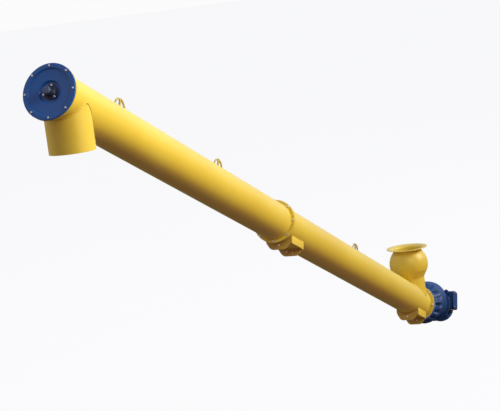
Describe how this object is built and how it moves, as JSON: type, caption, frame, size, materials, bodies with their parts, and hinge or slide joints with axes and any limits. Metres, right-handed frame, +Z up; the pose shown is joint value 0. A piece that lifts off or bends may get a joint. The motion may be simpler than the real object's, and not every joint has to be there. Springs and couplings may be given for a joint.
{
  "type": "screw conveyor",
  "caption": "Inclined tubular screw conveyor: flanged tube sections, ball-shaped top inlet, downward outlet spout, bearing end plate and geared motor.",
  "frame": {"origin": "on the flat lip of the inlet's flared rim, at the drive's side, 180.5 mm from the inlet's upright axis", "axes": "+X level, from the outlet end towards the drive end, so the tube falls along +X; +Y level across the tube; +Z up"},
  "size_m": [7.1158, 0.4083, 3.1763],
  "materials": {
    "yellow_paint": "semi-gloss machine paint",
    "blue_paint": "semi-gloss machine paint",
    "dark_paint": "satin dark blue-grey paint",
    "worn_steel": "worn bare steel"
  },
  "bodies": {
    "root": {"upper_tube": "yellow_paint", "lower_tube": "yellow_paint", "outlet_spout": "yellow_paint", "upper_end_flange": "yellow_paint", "mid_flange_upper": "yellow_paint", "mid_flange_lower": "yellow_paint", "drive_end_flange": "yellow_paint", "inlet_neck": "yellow_paint", "inlet_cone": "yellow_paint", "inlet_ball": "yellow_paint", "inlet_rim": "yellow_paint", "lifting_lug_1": "yellow_paint", "lifting_lug_2": "yellow_paint", "lifting_lug_3": "yellow_paint", "mid_hatch_front_plate": "yellow_paint", "mid_hatch_rear_plate": "yellow_paint", "mid_hatch_left_wall": "yellow_paint", "mid_hatch_right_wall": "yellow_paint", "mid_hatch_cover": "yellow_paint", "lower_hatch_front_plate": "yellow_paint", "lower_hatch_rear_plate": "yellow_paint", "lower_hatch_left_wall": "yellow_paint", "lower_hatch_right_wall": "yellow_paint", "lower_hatch_cover": "yellow_paint", "bearing_end_plate": "blue_paint", "drive_adapter_flange": "blue_paint", "gearbox_housing": "blue_paint", "motor_flange": "blue_paint", "motor_body": "blue_paint", "fan_cowl": "blue_paint", "terminal_box": "blue_paint", "terminal_box_lid": "blue_paint", "bearing_housing": "dark_paint", "upper_screw_shaft": "worn_steel", "upper_screw_flight": "worn_steel", "lower_screw_shaft": "worn_steel", "lower_screw_flight": "worn_steel", "hanger_bearing": "worn_steel"}
  },
  "joints": []
}
